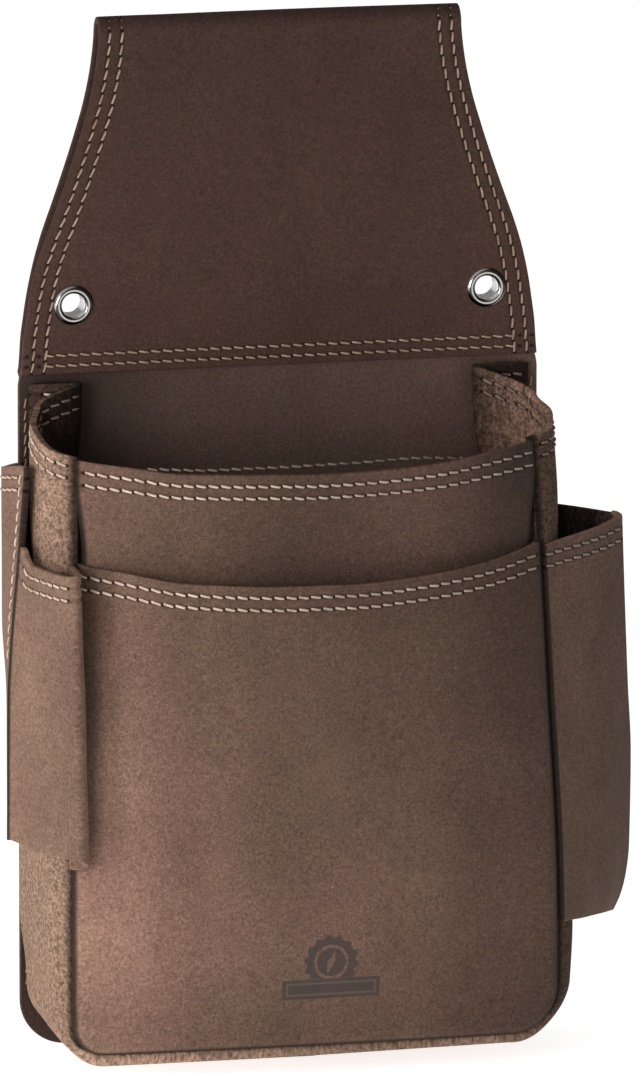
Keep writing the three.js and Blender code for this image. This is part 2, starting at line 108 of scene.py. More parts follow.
GUSSET_TOP = {-1: [(0, 225.2), (0.15, 226), (0.33, 219.2), (0.5, 216.3), (0.65, 213), (1, 207.6)],
              1: [(0, 225.2), (0.15, 226), (0.33, 215.6), (0.5, 213.2), (0.65, 211), (1, 207.6)]}
PLEAT = {-1: 14.0, 1: 17.6}
BOTTOM_HALF = FRONT_HALF[0][1]

# ---------------------------------------------------------------- sizes, m
BEND_TOP, BEND_LOW = BASE + 0.2270, BASE + 0.2235
FLOOR_GAP = 0.0035
AIM_RIGHT, AIM_UP = 0.01407, 0.1657
FIELD = 0.3602           # height of the picture at the pouch
DISTANCE = 7.0
LIT_POINT = np.array([0, 0, -0.13])


# ---------------------------------------------------------------- maths
def smooth(lo, hi, x):
    t = np.clip((x - lo) / (hi - lo), 0, 1)
    return t * t * (3 - 2 * t)


def mix(a, b, t):
    return a + (b - a) * t


def curve(rows, x):
    """A monotone cubic through the table's points."""
    xs, ys = np.array(rows, float).T
    h = np.diff(xs)
    s = np.diff(ys) / h
    m = np.zeros(len(xs))
    m[0], m[-1] = s[0], s[-1]
    same = s[:-1] * s[1:] > 0
    m[1:-1] = np.where(same, 2 * s[:-1] * s[1:] / np.where(same, s[:-1] + s[1:], 1), 0)
    x = np.clip(x, xs[0], xs[-1])
    i = np.clip(np.searchsorted(xs, x) - 1, 0, len(h) - 1)
    t = (x - xs[i]) / h[i]
    a = ys[i] * (1 + 2 * t) * (1 - t) ** 2 + h[i] * m[i] * t * (1 - t) ** 2
    b = ys[i + 1] * t * t * (3 - 2 * t) - h[i] * m[i + 1] * t * t * (1 - t)
    return a + b


def lattice(ix, iy, iz, seed):
    h = (ix * 374761393 + iy * 668265263 + iz * 2147483647 + seed * 1274126177) & 0xFFFFFFFF
    h = ((h ^ (h >> 13)) * 1274126177) & 0xFFFFFFFF
    return ((h ^ (h >> 16)) & 0xFFFF) / 32767.5 - 1


def noise(x, y, z, seed=0):
    """Smooth value noise in -1..1."""
    fx, fy, fz = np.floor(x), np.floor(y), np.floor(z)
    tx, ty, tz = x - fx, y - fy, z - fz
    tx, ty, tz = (t * t * (3 - 2 * t) for t in (tx, ty, tz))
    ix, iy, iz = (f.astype(np.int64) for f in (fx, fy, fz))
    total = 0
    for dx in (0, 1):
        for dy in (0, 1):
            for dz in (0, 1):
                w = (tx if dx else 1 - tx) * (ty if dy else 1 - ty) * (tz if dz else 1 - tz)
                total = total + w * lattice(ix + dx, iy + dy, iz + dz, seed)
    return total


def ripple(p, size, seed):
    return noise(p[..., 0] / size[0] + 31.3, p[..., 1] / size[1] + 17.7, p[..., 2] / size[2] + 5.1, seed)


def plan(points, u):
    """Centripetal Catmull-Rom through plan points (x, depth), each broadcast over u."""
    pts = [np.stack(np.broadcast_arrays(x * 1.0, d * 1.0, u * 1.0)[:2], -1) for x, d in points]
    pts = np.stack([2 * pts[0] - pts[1]] + pts + [2 * pts[-1] - pts[-2]])
    k = len(points)
    s = np.clip(u, 0, 1) * (k - 1)
    i = np.clip(np.floor(s).astype(int), 0, k - 2)
    t = (s - i)[..., None]
    i = np.broadcast_to(i, pts.shape[1:-1])
    q = [np.take_along_axis(pts, (i + j)[None, ..., None], 0)[0] for j in range(4)]
    d = [np.maximum(np.linalg.norm(q[j + 1] - q[j], axis=-1, keepdims=True), 1e-6) ** 0.5 for j in range(3)]
    a = ((q[1] - q[0]) / d[0] - (q[2] - q[0]) / (d[0] + d[1]) + (q[2] - q[1]) / d[1]) * d[1]
    b = ((q[2] - q[1]) / d[1] - (q[3] - q[1]) / (d[1] + d[2]) + (q[3] - q[2]) / d[2]) * d[1]
    c2 = -3 * q[1] + 3 * q[2] - 2 * a - b
    c3 = 2 * q[1] - 2 * q[2] + a + b
    return q[1] + a * t + c2 * t * t + c3 * t ** 3


def xyz(x, d, z):
    x, d, z = np.broadcast_arrays(x, d, z)
    return np.stack([x, -d, z], -1).astype(float)


def unit(v):
    return v / np.maximum(np.linalg.norm(v, axis=-1, keepdims=True), 1e-9)


def slopes(p):
    du = np.gradient(p, axis=1)
    dv = np.gradient(p, axis=0)
    return unit(np.cross(du, dv))


def surface_normal(P, u, v, lo=(-9e9, -9e9), hi=(9e9, 9e9), step=1e-3):
    du = P(np.minimum(u + step, hi[0]), v) - P(np.maximum(u - step, lo[0]), v)
    dv = P(u, np.minimum(v + step, hi[1])) - P(u, np.maximum(v - step, lo[1]))
    return unit(np.cross(du, dv))


# ---------------------------------------------------------------- meshes
def place(p):
    return np.asarray(p, float) * 0.001 + np.array([0, 0, BASE])


def set_vectors(obj, name, values):
    attributes = obj.data.attributes
    if name in attributes:
        attributes.remove(attributes[name])
    layer = attributes.new(name, "FLOAT_VECTOR", "POINT")
    layer.data.foreach_set("vector", np.asarray(values, np.float32).ravel())


def make_mesh(name, verts, faces, attributes=None):
    mesh = bpy.data.meshes.new(name)
    mesh.from_pydata(place(verts), [], faces)
    mesh.update()
    mesh.polygons.foreach_set("use_smooth", [True] * len(mesh.polygons))
    obj = bpy.data.objects.new(name, mesh)
    for key, values in (attributes or {}).items():
        set_vectors(obj, key, values)
    bpy.context.scene.collection.objects.link(obj)
    return obj


def leather(name, p, n, seam=None):
    """A closed sheet of leather about the grid p with normals n, its cut edges rounded."""
    nv, nu = p.shape[:2]
    loop = [j * nu + i for j, i in
            [(0, i) for i in range(nu)] + [(j, nu - 1) for j in range(1, nv)]
            + [(nv - 1, i) for i in range(nu - 2, -1, -1)] + [(j, 0) for j in range(nv - 2, 0, -1)]]
    flat, norm = p.reshape(-1, 3), n.reshape(-1, 3)
    ring = flat[loop]
    tangent = unit(np.roll(ring, -1, 0) - np.roll(ring, 1, 0))
    out = unit(np.cross(tangent, norm[loop]))
    half = LEATHER / 2
    verts = [flat + norm * half, flat - norm * half]
    angles = np.radians([25, 58, 90, 122, 155])
    for a in angles:
        rise = math.copysign(abs(math.cos(a)) ** 0.5, math.cos(a))
        verts.append(ring + norm[loop] * half * rise * 0.995 + out * CUT_BULGE * math.sin(a) ** 0.6)
    count = nv * nu
    faces = []
    for j in range(nv - 1):
        for i in range(nu - 1):
            a = j * nu + i
            faces.append((a, a + 1, a + nu + 1, a + nu))
            faces.append((count + a, count + a + nu, count + a + nu + 1, count + a + 1))
    m = len(loop)
    rings = [loop] + [list(range(2 * count + k * m, 2 * count + (k + 1) * m)) for k in range(len(angles))]
    rings.append([count + i for i in loop])
    for r0, r1 in zip(rings, rings[1:]):
        for i in range(m):
            k = (i + 1) % m
            faces.append((r0[i], r1[i], r1[k], r0[k]))
    far = np.full((count, 3), FAR)

    def spread(values):
        return np.concatenate([values, values] + [values[loop]] * len(angles))
    face_side = np.concatenate([np.ones(count), -np.ones(count)] + [np.zeros(m)] * len(angles))
    return make_mesh(name, np.concatenate(verts), faces, {
        "seam_a": spread(far if seam is None else seam.reshape(-1, 3)), "seam_b": spread(far),
        "rest": spread(flat), "side": np.stack([face_side, face_side * 0, face_side * 0], 1)})


def drilled(obj, x, z, radius):
    """Cuts a round hole through obj along Y."""
    bpy.ops.mesh.primitive_cylinder_add(
        vertices=48, radius=radius * 0.001, depth=0.04,
        location=(x * 0.001, 0, BASE + z * 0.001), rotation=(math.pi / 2, 0, 0))
    tool = bpy.context.object
    cut = obj.modifiers.new("hole", "BOOLEAN")
    cut.operation, cut.object, cut.solver = "DIFFERENCE", tool, "EXACT"
    bpy.context.view_layer.objects.active = obj
    obj.select_set(True)
    bpy.ops.object.modifier_apply(modifier="hole")
    bpy.data.objects.remove(tool)


def stitches(name, a, b, normal, radius):
    """One closed capsule of thread from each hole a to the next hole b, lying on the leather."""
    across = unit(np.cross(normal, unit(b - a)))
    a = a + across * SLANT
    b = b - across * SLANT
    length = np.linalg.norm(b - a, axis=-1, keepdims=True)
    along = unit(b - a)
    across = unit(np.cross(normal, along))
    ts = np.array([0.05, 0.10, 0.20, 0.38, 0.62, 0.80, 0.90, 0.95])
    hs = np.array([-0.7, -0.15, 0.18, 0.27, 0.27, 0.18, -0.15, -0.7])
    rs = np.array([0.72, 0.95, 1.0, 1.05, 1.05, 1.0, 0.95, 0.72]) * radius
    sides = 8
    ang = np.arange(sides) * 2 * math.pi / sides
    centre = (a[:, None] + along[:, None] * length[:, None] * ts[None, :, None]
              + normal[:, None] * hs[None, :, None])
    off = (across[:, None, None] * np.cos(ang)[None, None, :, None] * 1.15
           + normal[:, None, None] * np.sin(ang)[None, None, :, None] * 0.9) * rs[None, :, None, None]
    verts = (centre[:, :, None] + off).reshape(-1, 3)
    faces = []
    k = len(ts)
    for s in range(len(a)):
        o = s * k * sides
        for low in range(o, o + (k - 1) * sides, sides):
            for i in range(sides):
                j = (i + 1) % sides
                faces.append((low + i, low + j, low + sides + j, low + sides + i))
        faces.append(tuple(o + i for i in range(sides - 1, -1, -1)))
        faces.append(tuple(o + (k - 1) * sides + i for i in range(sides)))
    phase = ts[None, :, None] * length[:, None] + ang[None, None, :] * 0.25
    twist = np.stack([phase, np.broadcast_to(ang, phase.shape), phase * 0], -1)
    return make_mesh(name, verts, faces, {"twist": twist.reshape(-1, 3)})


# ---------------------------------------------------------------- materials
class Nodes:
    """A small helper for building a material's nodes."""

    def __init__(self, name):
        self.material = bpy.data.materials.new(name)
        self.material.use_nodes = True
        self.tree = self.material.node_tree
        self.tree.nodes.clear()
        self.shader = self.add("ShaderNodeBsdfPrincipled")
        out = self.add("ShaderNodeOutputMaterial")
        self.tree.links.new(self.shader.outputs[0], out.inputs[0])

    def add(self, kind, **settings):
        node = self.tree.nodes.new(kind)
        for key, value in settings.items():
            setattr(node, key, value)
        return node

    def plug(self, socket, value):
        if hasattr(value, "links"):
            self.tree.links.new(value, socket)
        elif value is not None:
            socket.default_value = value

    def math(self, kind, *values):
        node = self.add("ShaderNodeMath", operation=kind)
        for socket, value in zip(node.inputs, values):
            self.plug(socket, value)
        return node.outputs[0]

    def times(self, a, b):
        return self.math("MULTIPLY", a, b)

    def minus(self, a, b):
        return self.math("SUBTRACT", a, b)

    def size(self, value):
        return self.math("ABSOLUTE", value)

    def ramp(self, value, lo, hi, a=0.0, b=1.0, kind="SMOOTHSTEP"):
        node = self.add("ShaderNodeMapRange", interpolation_type=kind)
        for socket, v in zip(node.inputs, (value, lo, hi, a, b)):
            self.plug(socket, v)
        return node.outputs[0]

    def blend(self, factor, a, b):
        node = self.add("ShaderNodeMix", data_type="RGBA")
        self.plug(node.inputs[0], factor)
        self.plug(node.inputs[6], a)
        self.plug(node.inputs[7], b)
        return node.outputs[2]

    def follow(self, value, stops):
        """A value that runs smoothly through the (x, y) stops."""
        total = stops[0][1]
        for (x0, y0), (x1, y1) in zip(stops, stops[1:]):
            total = self.math("ADD", total, self.ramp(value, x0, x1, 0.0, y1 - y0))
        return total

    def brighten(self, colour, factor):
        node = self.add("ShaderNodeVectorMath", operation="SCALE")
        self.plug(node.inputs[0], colour)
        self.plug(node.inputs["Scale"], factor)
        return node.outputs[0]

    def vector(self, name):
        return self.add("ShaderNodeAttribute", attribute_name=name).outputs["Vector"]

    def side(self):
        """1 on the outer face, -1 on the inner face and 0 round the cut edge."""
        return self.split(self.vector("side"))[0]

    def surface(self, **values):
        """Sets the shader's inputs, named with _ for a space, and gives the material."""
        for name, value in values.items():
            self.plug(self.shader.inputs[name.replace("_", " ")], value)
        return self.material

    def split(self, vector):
        node = self.add("ShaderNodeSeparateXYZ")
        self.plug(node.inputs[0], vector)
        return node.outputs

    def scaled(self, vector, scale):
        node = self.add("ShaderNodeMapping")
        self.plug(node.inputs[0], vector)
        node.inputs[3].default_value = scale
        return node.outputs[0]

    def noise(self, vector, scale, detail=3.0, rough=0.55, distort=0.0):
        node = self.add("ShaderNodeTexNoise")
        self.plug(node.inputs["Vector"], vector)
        node.inputs["Scale"].default_value = scale
        node.inputs["Detail"].default_value = detail
        node.inputs["Roughness"].default_value = rough
        node.inputs["Distortion"].default_value = distort
        return node.outputs[0]

    def cells(self, vector, scale, feature="F1"):
        node = self.add("ShaderNodeTexVoronoi", feature=feature)
        self.plug(node.inputs["Vector"], vector)
        node.inputs["Scale"].default_value = scale
        return node.outputs[0]

    def bump(self, height, strength, distance, below=None):
        node = self.add("ShaderNodeBump")
        node.inputs["Strength"].default_value = strength
        node.inputs["Distance"].default_value = distance
        self.plug(node.inputs["Height"], height)
        if below is not None:
            self.plug(node.inputs["Normal"], below)
        return node.outputs[0]


def seam_masks(k):
    """(groove, hole) over both seam coordinate layers, from millimetre attributes."""
    groove, hole = None, None
    for layer in ("seam_a", "seam_b"):
        x, y, _ = k.split(k.vector(layer))
        turn = k.math("PINGPONG", x, PITCH / 2)
        for row in ROWS:
            away = k.size(k.minus(y, row))
            g = k.ramp(away, 0.35, 1.25, 1.0, 0.0)
            flat_turn = k.times(turn, 0.72)
            r = k.math("ADD", k.times(flat_turn, flat_turn), k.times(away, away))
            r = k.math("SQRT", r)
            h = k.ramp(r, 0.30, 0.72, 1.0, 0.0)
            groove = g if groove is None else k.math("MAXIMUM", groove, g)
            hole = h if hole is None else k.math("MAXIMUM", hole, h)
    return groove, hole


FLAT = ((0, 1), (1, 1))


def toned(base, red, green, blue):
    return (base[0] * red, base[1] * green, base[2] * blue, 1)


def nubuck(name, base, across, painted_falloff_up=FLAT, spread=0.10, creases=0.0, stamp=None, shaded=False):
    """Oiled nubuck: soft drifting colour, fine nap, pale flecks, faint scratches, sunk seams, with painted
    light and shade.
    """
    k = Nodes(name)
    mm = k.vector("rest")
    x, _, z = k.split(mm)
    rest = k.scaled(mm, (0.001, 0.001, 0.001))
    hue = k.noise(rest, 26.0, 2.0, 0.5, 0.3)
    colour = k.blend(k.ramp(hue, 0.38, 0.62),
                     toned(base, 0.985, 1.01, 0.98), toned(base, 1.025, 0.985, 1.02))
    cloud = k.noise(k.scaled(mm, (0.038, 0.038, 0.03)), 1.0, 3.0, 0.55, 0.3)
    level = k.ramp(cloud, 0.3, 0.7, 1 - spread, 1 + spread, "LINEAR")
    # painted light: the outer face is made lighter or darker across the piece and up it, following the lamps'
    # falloff
    outer = k.ramp(k.side(), -0.5, 0.5)
    painted_falloff_across = k.minus(k.follow(x, across), 1.0)
    level = k.times(level, k.math("MULTIPLY_ADD", outer, painted_falloff_across, 1.0))
    level = k.times(level, k.follow(z, painted_falloff_up))
    if shaded:
        # painted shadow that the left pocket's roll casts on the front panel beside it
        painted_roll_shadow = k.times(k.follow(x, ((-84, 1.0), (-76, 1.0), (-70, 0.5), (-62, 0.0))),
                        k.follow(z, ((66, 0.0), (86, 0.75), (130, 1.0), (168, 0.85))))
        level = k.times(level, k.math("MULTIPLY_ADD", painted_roll_shadow, -0.6, 1.0))
    fine = k.noise(rest, 820.0, 4.0, 0.75)
    level = k.times(level, k.ramp(fine, 0.28, 0.72, 0.56, 1.44, "LINEAR"))
    grit = k.noise(rest, 2100.0, 2.0, 0.6)
    level = k.times(level, k.ramp(grit, 0.3, 0.7, 0.66, 1.34, "LINEAR"))
    patchy = k.noise(rest, 210.0, 3.0, 0.6)
    level = k.times(level, k.ramp(patchy, 0.3, 0.7, 0.94, 1.06, "LINEAR"))
    streak = k.noise(k.scaled(mm, (0.52, 0.52, 0.05)), 1.0, 3.0, 0.5, 0.6)
    scuff = k.noise(k.scaled(mm, (0.06, 0.4, 0.5)), 1.0, 2.0, 0.5, 1.2)
    rubbed = k.math("ADD", k.ramp(streak, 0.66, 0.78, 0.0, 0.14), k.ramp(scuff, 0.68, 0.8, 0.0, 0.12))
    fleck = k.ramp(k.cells(rest, 240.0), 0.05, 0.13, 0.28, 0.0)
    rubbed = k.math("ADD", rubbed, k.times(fleck, k.ramp(patchy, 0.5, 0.6)))
    level = k.math("MULTIPLY_ADD", level, rubbed, level)
    normal = k.bump(k.noise(rest, 160.0, 4.0, 0.6, 0.8), 0.30, 0.0006)
    normal = k.bump(fine, 0.6, 0.00025, normal)
    normal = k.bump(k.cells(rest, 760.0), 0.22, 0.00016, normal)
    if creases:
        wander = k.scaled(mm, (0.30, 0.30, 0.24))
        lines = k.ramp(k.cells(wander, 1.0, "DISTANCE_TO_EDGE"), 0.0, 0.06, 1.0, 0.0)
        lines = k.times(lines, k.ramp(cloud, 0.48, 0.58))
        # painted shade: the crease lines are darkened as well as bumped
        level = k.times(level, k.math("MULTIPLY_ADD", lines, -creases, 1.0))
        normal = k.bump(lines, -0.4, 0.0002, normal)
    face = k.size(k.side())
    level = k.times(level, k.ramp(face, 0.1, 0.9, 1.4, 1.0))
    colour = k.brighten(colour, level)
    groove, hole = seam_masks(k)
    # painted shade in the sunk seam grooves and the stitch holes
    colour = k.blend(k.times(groove, 0.22), colour, (0.012, 0.008, 0.006, 1))
    colour = k.blend(k.times(hole, 0.9), colour, (0.004, 0.003, 0.002, 1))
    # painted shade in the groove between parts: darkest at the sewn edge, gone 1.5 mm from it
    edge = k.split(k.vector("seam_a"))[2]
    colour = k.brighten(colour, k.ramp(edge, 0.25, 1.5, 0.12, 1.0))
    dent = k.math("MULTIPLY_ADD", hole, -0.6, k.times(groove, -0.4))
    normal = k.bump(dent, 0.9, 0.0006, normal)
    if stamp:
        colour, normal = stamp(k, colour, normal)
    return k.surface(Base_Color=colour, Roughness=k.ramp(fine, 0.3, 0.7, 0.70, 0.86, "LINEAR"),
                     Specular_IOR_Level=0.18, Sheen_Weight=0.04, Sheen_Roughness=0.5,
                     Sheen_Tint=(0.7, 0.5, 0.38, 1), Normal=normal)


def emblem(k, colour, normal):
    """A pressed mark with no lettering: a toothed round badge on a plain bar."""
    x, _, z = k.split(k.vector("rest"))
    outside = k.ramp(k.side(), 0.2, 0.6)
    dx = k.minus(x, EMBLEM_X)
    dz = k.minus(z, EMBLEM_Z)
    radius = k.math("SQRT", k.math("ADD", k.times(dx, dx), k.times(dz, dz)))
    angle = k.math("ARCTAN2", dz, dx)
    teeth = k.times(k.math("SINE", k.times(angle, 14.0)), 0.55)
    disc = k.ramp(k.math("ADD", radius, teeth), 8.6, 9.0, 1.0, 0.0)
    ring = k.size(k.minus(radius, 5.4))
    disc = k.times(disc, k.ramp(ring, 0.35, 0.7))
    bolt = k.math("ADD", k.size(k.minus(dx, k.times(dz, 0.35))),
                  k.times(k.size(dz), 0.35))
    disc = k.times(disc, k.ramp(bolt, 1.2, 1.5))
    low = k.math("ADD", dz, 9.0)
    bar = k.times(k.ramp(k.size(dx), 16.4, 16.8, 1.0, 0.0),
                 k.ramp(k.size(low), 3.2, 3.5, 1.0, 0.0))
    frame_ = k.math("MAXIMUM", k.minus(k.size(dx), 15.0),
                    k.minus(k.size(low), 1.9))
    line = k.ramp(k.size(frame_), 0.2, 0.5, 1.0, 0.0)
    mask = k.math("MAXIMUM", k.times(disc, k.ramp(low, 3.3, 3.8)), bar)
    mask = k.times(mask, outside)
    pale = k.times(line, mask)
    colour = k.blend(k.times(mask, 0.82), colour, (0.044, 0.036, 0.033, 1))
    colour = k.blend(k.times(pale, 0.5), colour, (0.13, 0.09, 0.07, 1))
    return colour, k.bump(mask, -0.5, 0.0004, normal)


def suede(name, outer, inner, across, across_inside):
    """Split suede: pebbled nap outside, longer fibres inside, with painted light and shade."""
    k = Nodes(name)
    mm = k.vector("rest")
    x, y, z = k.split(mm)
    rest = k.scaled(mm, (0.001, 0.001, 0.001))
    inside = k.ramp(k.side(), -0.5, 0.5, 1.0, 0.0)
    colour = k.blend(inside, outer + (1,), inner + (1,))
    clump = k.noise(rest, 300.0, 6.0, 0.72, 0.5)
    pebble = k.noise(rest, 820.0, 3.0, 0.7)
    fibre = k.noise(k.scaled(mm, (0.9, 0.9, 0.22)), 1.0, 4.0, 0.7, 0.8)
    level = k.times(k.ramp(pebble, 0.37, 0.63, 0.50, 1.38, "LINEAR"),
                   k.ramp(clump, 0.3, 0.7, 0.80, 1.20, "LINEAR"))
    long_ = k.times(level, k.ramp(fibre, 0.35, 0.65, 0.55, 1.4, "LINEAR"))
    level = k.math("ADD", level, k.times(inside, k.minus(long_, level)))
    # on the inner faces the stops darken the left and light the right.
    # painted light and shade across the gussets: lit at the left, dark on the right gusset's outer face;
    painted_light = k.follow(x, across)
    painted_light_inside = k.follow(x, across_inside)
    painted_light = k.math("ADD", painted_light, k.times(inside, k.minus(painted_light_inside, painted_light)))
    level = k.times(level, painted_light)
    # painted shade on the pleat's rear ply, high up behind its front ply
    folded = k.times(k.ramp(y, -13.0, -7.0), k.ramp(z, 120.0, 160.0))
    level = k.times(level, k.math("MULTIPLY_ADD", folded, -0.84, 1.0))
    # painted light on the bottom strip, lighter towards the floor
    level = k.times(level, k.ramp(z, 7.0, 13.0, 1.5, 1.0))
    dark_grain = k.ramp(k.cells(rest, 900.0), 0.12, 0.36, 0.55, 0.0)
    dark_grain = k.times(dark_grain, k.ramp(clump, 0.42, 0.54))
    level = k.times(level, k.minus(1.0, dark_grain))
    colour = k.brighten(colour, level)
    groove, hole = seam_masks(k)
    # painted shade in the sunk seam grooves and the stitch holes
    colour = k.blend(k.times(groove, 0.2), colour, (0.02, 0.013, 0.01, 1))
    colour = k.blend(k.times(hole, 0.85), colour, (0.006, 0.004, 0.003, 1))
    # painted shade along the front seam between the gusset and the panel, lighter further from it
    edge = k.split(k.vector("seam_a"))[2]
    colour = k.brighten(colour, k.times(k.ramp(edge, 0.3, 2.4, 0.12, 0.8),
                                        k.ramp(edge, 1.5, 9.0, 1.0, 1.25)))
    normal = k.bump(clump, 0.8, 0.0008)
    normal = k.bump(pebble, 0.8, 0.0003, normal)
    dent = k.math("MULTIPLY_ADD", hole, -0.6, k.times(groove, -0.4))
    normal = k.bump(dent, 0.9, 0.0006, normal)
    return k.surface(Base_Color=colour, Roughness=0.95, Specular_IOR_Level=0.05, Sheen_Weight=0.02,
                     Sheen_Roughness=0.6, Sheen_Tint=(0.8, 0.66, 0.56, 1), Normal=normal)


def thread_material(name, dark, light, across=FLAT):
    k = Nodes(name)
    x, y, _ = k.split(k.vector("twist"))
    ply = k.math("SINE", k.math("ADD", k.times(x, 7.5), y))
    place_ = k.add("ShaderNodeTexCoord").outputs["Object"]
    vary = k.noise(place_, 260.0, 2.0, 0.5)
    colour = k.blend(k.ramp(vary, 0.3, 0.7), dark + (1,), light + (1,))
    colour = k.blend(k.ramp(ply, -1.0, -0.2, 0.5, 0.0), colour, (0.16, 0.11, 0.07, 1))
    # painted light: the thread is made darker towards the right by the across stops
    colour = k.brighten(colour, k.follow(k.split(place_)[0], across))
    return k.surface(Base_Color=colour, Roughness=0.55, Specular_IOR_Level=0.4,
                     Normal=k.bump(ply, 0.6, 0.0001))


def nickel_material():
    """Plated metal whose curved rim carries painted dark and light bands of a studio reflection, set by its
    normal.
    """
    k = Nodes("nickel_plate")
    coordinates = k.add("ShaderNodeTexCoord")
    place_ = coordinates.outputs["Object"]
    nx, ny, nz = k.split(coordinates.outputs["Normal"])
    smear = k.noise(place_, 420.0, 4.0, 0.6)
    # painted reflection: the rim's colour turns dark or pale by which way its surface faces
    tilt = k.math("ADD", k.times(nx, -0.62), k.times(nz, 0.55))
    painted_reflection = k.math("ADD", k.ramp(tilt, 0.28, 0.5), k.ramp(tilt, -0.62, -0.4, 1.0, 0.0))
    barrel = k.ramp(k.size(ny), 0.1, 0.3, 1.0, 0.0)
    flat_rim = k.ramp(k.size(ny), 0.97, 0.995)
    painted_reflection = k.math("MAXIMUM", k.math("MAXIMUM", painted_reflection, barrel), k.times(flat_rim, 0.55))
    colour = k.blend(k.ramp(smear, 0.35, 0.7), (0.80, 0.79, 0.76, 1), (0.93, 0.92, 0.89, 1))
    return k.surface(Base_Color=k.blend(painted_reflection, (0.045, 0.038, 0.034, 1), colour), Metallic=1.0,
                     Roughness=k.ramp(smear, 0.3, 0.7, 0.12, 0.24))


# The stops across and up each leather paint the lamps' falloff into its colour, lighter at the left.
YOKE = nubuck("nubuck_yoke", (0.0375, 0.0185, 0.0136),
              ((-90, 1.0), (0, 0.9), (60, 1.0), (90, 1.05)), ((245, 1.0), (335, 0.86)))
# FRONT also carries a painted shadow beside the left pocket's roll.
FRONT = nubuck("nubuck_front", (0.118, 0.068, 0.0485),
               ((-84, 1.85), (-70, 1.72), (-40, 1.12), (-8, 0.89), (28, 0.79), (62, 0.54), (84, 0.46)),
               ((8, 0.96), (50, 1.24), (95, 1.04), (140, 0.86), (165, 0.82)), 0.11, stamp=emblem, shaded=True)
MAIN = nubuck("nubuck_main", (0.088, 0.050, 0.036),
              ((-80, 1.7), (-40, 1.12), (-8, 0.74), (35, 0.92), (80, 0.36)), creases=0.16)
POCKET = nubuck("nubuck_pocket", (0.165, 0.097, 0.069),
                ((-98, 1.4), (-88, 1.25), (-80, 0.95), (80, 0.56), (112, 0.48)), spread=0.16)
# BACK's stops paint the shade inside the main compartment, darkest at its left.
BACK = nubuck("nubuck_back", (0.080, 0.047, 0.036), ((-70, 0.45), (-25, 0.95), (70, 1.15)))
# Its two lists of stops paint light and shade across the gussets' outer and inner faces.
SUEDE = suede("split_suede", (0.31, 0.197, 0.140), (0.135, 0.080, 0.058),
              ((-90, 1.15), (-70, 0.95), (-20, 0.62), (20, 0.48), (60, 0.5), (74, 0.45), (86, 0.23)),
              ((-80, 0.2), (70, 2.2)))
# a shaded copy of the suede: painted shade for the ply seen inside the right pocket
SUEDE_SHADE = suede("split_suede_pocket_shade", (0.06, 0.037, 0.028), (0.052, 0.035, 0.030), FLAT, FLAT)
# THREAD's stops paint the lamps' falloff, darker to the right.
THREAD = thread_material("waxed_thread", (0.57, 0.41, 0.31), (0.82, 0.65, 0.52),
                         ((-0.06, 1.0), (0.03, 0.55), (0.085, 0.30)))
# a darker copy of the thread: painted shade for the thin, sunk stitches on the yoke and back panel
THREAD_SUNK_SHADE = thread_material("waxed_thread_yoke_shade", (0.27, 0.17, 0.115), (0.42, 0.285, 0.20))
THREAD_SHADED = thread_material("waxed_thread_shaded", (0.11, 0.07, 0.05), (0.19, 0.125, 0.09))
NICKEL = nickel_material()


def finish_piece(obj, material, body, nodes=(), crosses=False):
    obj.data.materials.append(material)
    if crosses:
        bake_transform(obj, "belt_loop", "pouch", start=(0, 0, BEND_TOP), end=(0, 0, BEND_LOW))
    else:
        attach(obj, body)
    if nodes:
        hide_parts(*nodes)


def joined(*parts, digits=5):
    """The parts' values in order, each once."""
    return np.unique(np.round(np.concatenate(parts), digits))


def lengths(points):
    """The length run along a line of points, at each point."""
    return np.concatenate([[0], np.cumsum(np.linalg.norm(np.diff(points, axis=0), axis=1))])


def pitched(lo, hi):
    """The hole places between two lengths."""
    return np.arange(math.ceil(lo / PITCH), math.floor(hi / PITCH) + 1) * PITCH


def sew(name, q, n, material, body="pouch", nodes=(), side=1, radius=0.36):
    """A run of stitches over holes at q, on the face that side chooses."""
    s = q + n * side * LEATHER / 2
    run = stitches("stitches_" + name, s[:-1], s[1:], unit(n[:-1] + n[1:]) * side, radius)
    finish_piece(run, material, body, nodes)


def sew_mouth(name, key, P, u, height, outside, inside, lo=(0, 0), hi=(1, 1)):
    """A double row under the mouth of the sheet P, on both faces."""
    for d, part in zip(ROWS, ("_upper", "_lower")):
        v = 1 - d / height + 0 * u
        n = surface_normal(P, u, v, lo, hi)
        sew(name + part, P(u, v), n, outside, nodes=["thread_" + key + part])
        sew(name + part + "_inside", P(u, v), n, inside, side=-1)


# ---------------------------------------------------------------- belt loop
def loop_gap(z):
    return PLY_PITCH + (LOOP_OPEN - PLY_PITCH) * smooth(259, 280, z)


RISE = LOOP_HIGH - LOOP_LOW
BEND = math.pi * LOOP_OPEN
TAIL_END = 2 * RISE + BEND + LOOP_LOW - TAIL_LOW


def loop_half(z, back):
    half = curve(LOOP_EDGE, z)
    return np.where(back, np.minimum(half, TAIL_HALF + (88.5 - TAIL_HALF) * smooth(212, 236, z)), half)


